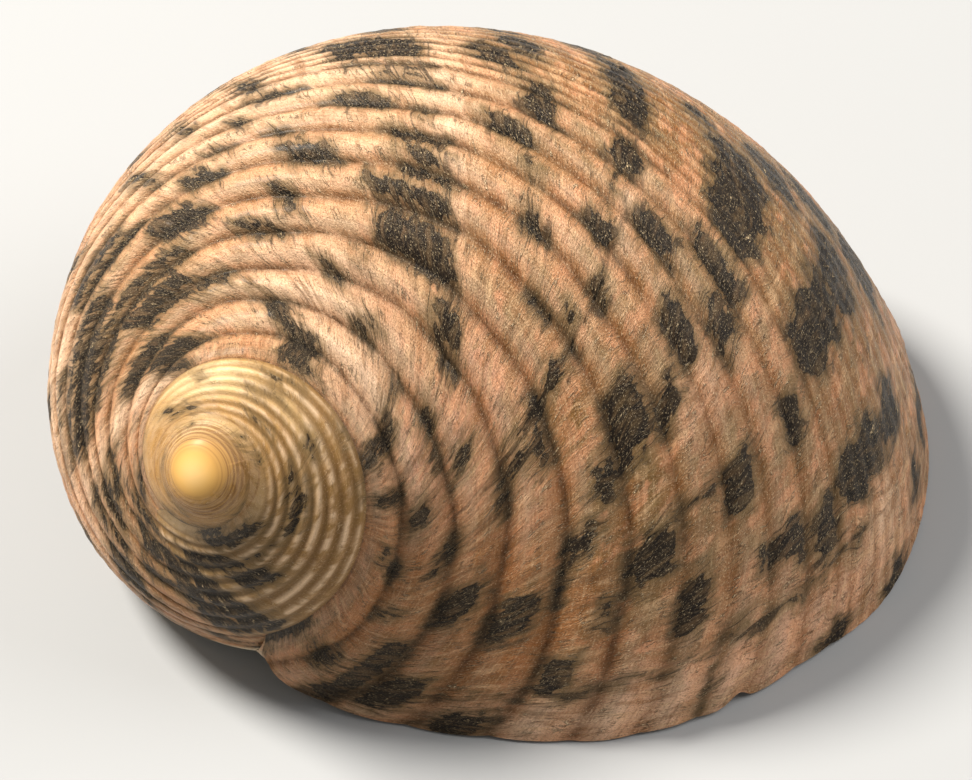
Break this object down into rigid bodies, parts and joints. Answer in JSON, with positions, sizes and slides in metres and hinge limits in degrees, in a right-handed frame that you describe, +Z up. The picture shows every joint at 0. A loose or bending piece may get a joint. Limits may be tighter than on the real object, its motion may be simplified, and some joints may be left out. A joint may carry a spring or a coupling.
{
  "type": "nerite shell",
  "caption": "Coiled sea-snail shell with a low spire, rounded spiral cords, a flared outer lip and a flat deck beside a D-shaped opening.",
  "frame": {"origin": "centre of the shell's box, on the ground plane it rests on", "axes": "+X along the longest extent, away from the spire; +Y toward the back, away from the outer lip's front edge; +Z up, away from the opening"},
  "size_m": [0.029, 0.0224, 0.0148],
  "materials": {
    "shell": "natural shell, peach to orange-brown with charcoal blotches, satin with a soft gloss"
  },
  "bodies": {
    "root": {"shell": "shell"}
  },
  "joints": []
}
